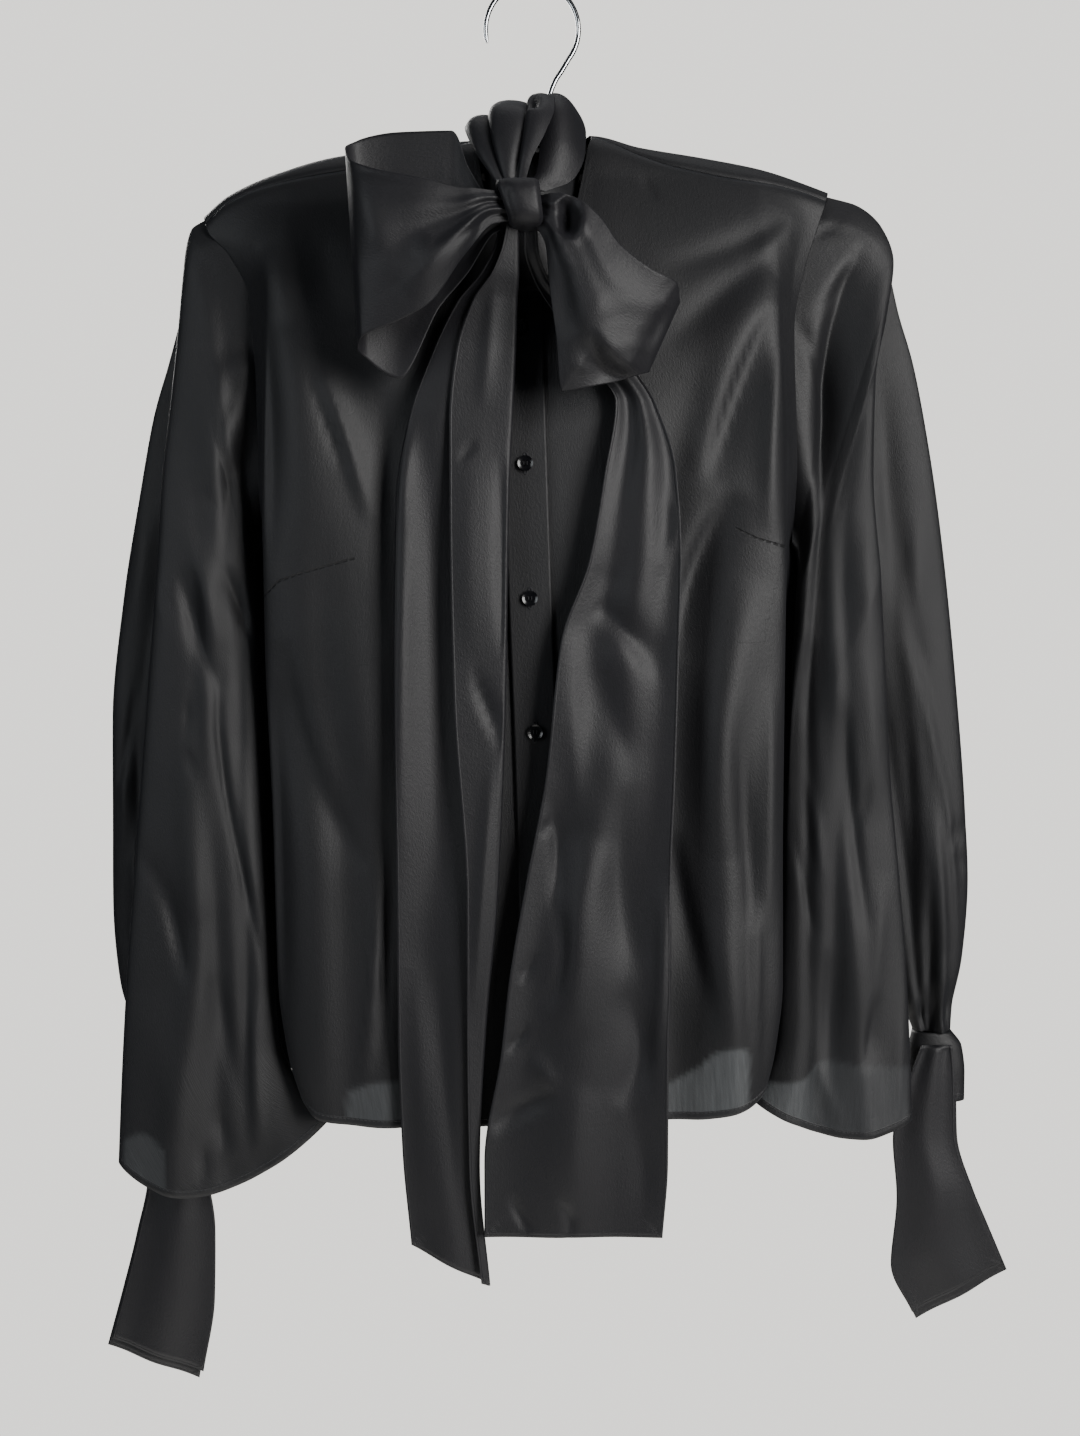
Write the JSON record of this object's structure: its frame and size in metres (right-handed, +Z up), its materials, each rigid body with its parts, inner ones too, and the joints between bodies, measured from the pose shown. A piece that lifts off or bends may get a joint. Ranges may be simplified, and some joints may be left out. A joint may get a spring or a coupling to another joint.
{
  "type": "tie neck blouse on a hanger",
  "caption": "Black satin blouse with a big neck bow, long flared over-sleeves and tied cuffs, hanging on a bar hanger with a wire hook.",
  "frame": {"origin": "inner apex of the hanger's hook, where a rail carries it", "axes": "+Z up, +X to the wearer's left, +Y to the back"},
  "size_m": [0.571, 0.1501, 0.867],
  "materials": {
    "satin": "satin",
    "ribbon": "satin",
    "button": "gloss",
    "wire": "polished",
    "bar": "matt"
  },
  "bodies": {
    "root": {"hanger_bar": "bar", "hanger_hook": "wire", "front_left": "satin", "front_right": "satin", "back": "satin", "placket": "satin", "neckband": "satin", "oversleeve_left": "satin", "oversleeve_right": "satin", "undersleeve_left": "satin", "undersleeve_right": "satin", "cuff_left": "satin", "cuff_right": "satin", "cuff_tie_left_front": "ribbon", "cuff_tie_left_back": "ribbon", "cuff_tie_right_front": "ribbon", "cuff_tie_right_back": "ribbon", "tie_wrap_left": "ribbon", "tie_wrap_right": "ribbon", "bow_knot": "ribbon", "bow_loop_left": "ribbon", "bow_loop_right": "ribbon", "bow_tail_left": "ribbon", "bow_tail_right": "ribbon", "button_1": "button", "button_2": "button", "button_3": "button", "button_4": "button", "button_5": "button", "button_6": "button"}
  },
  "joints": []
}
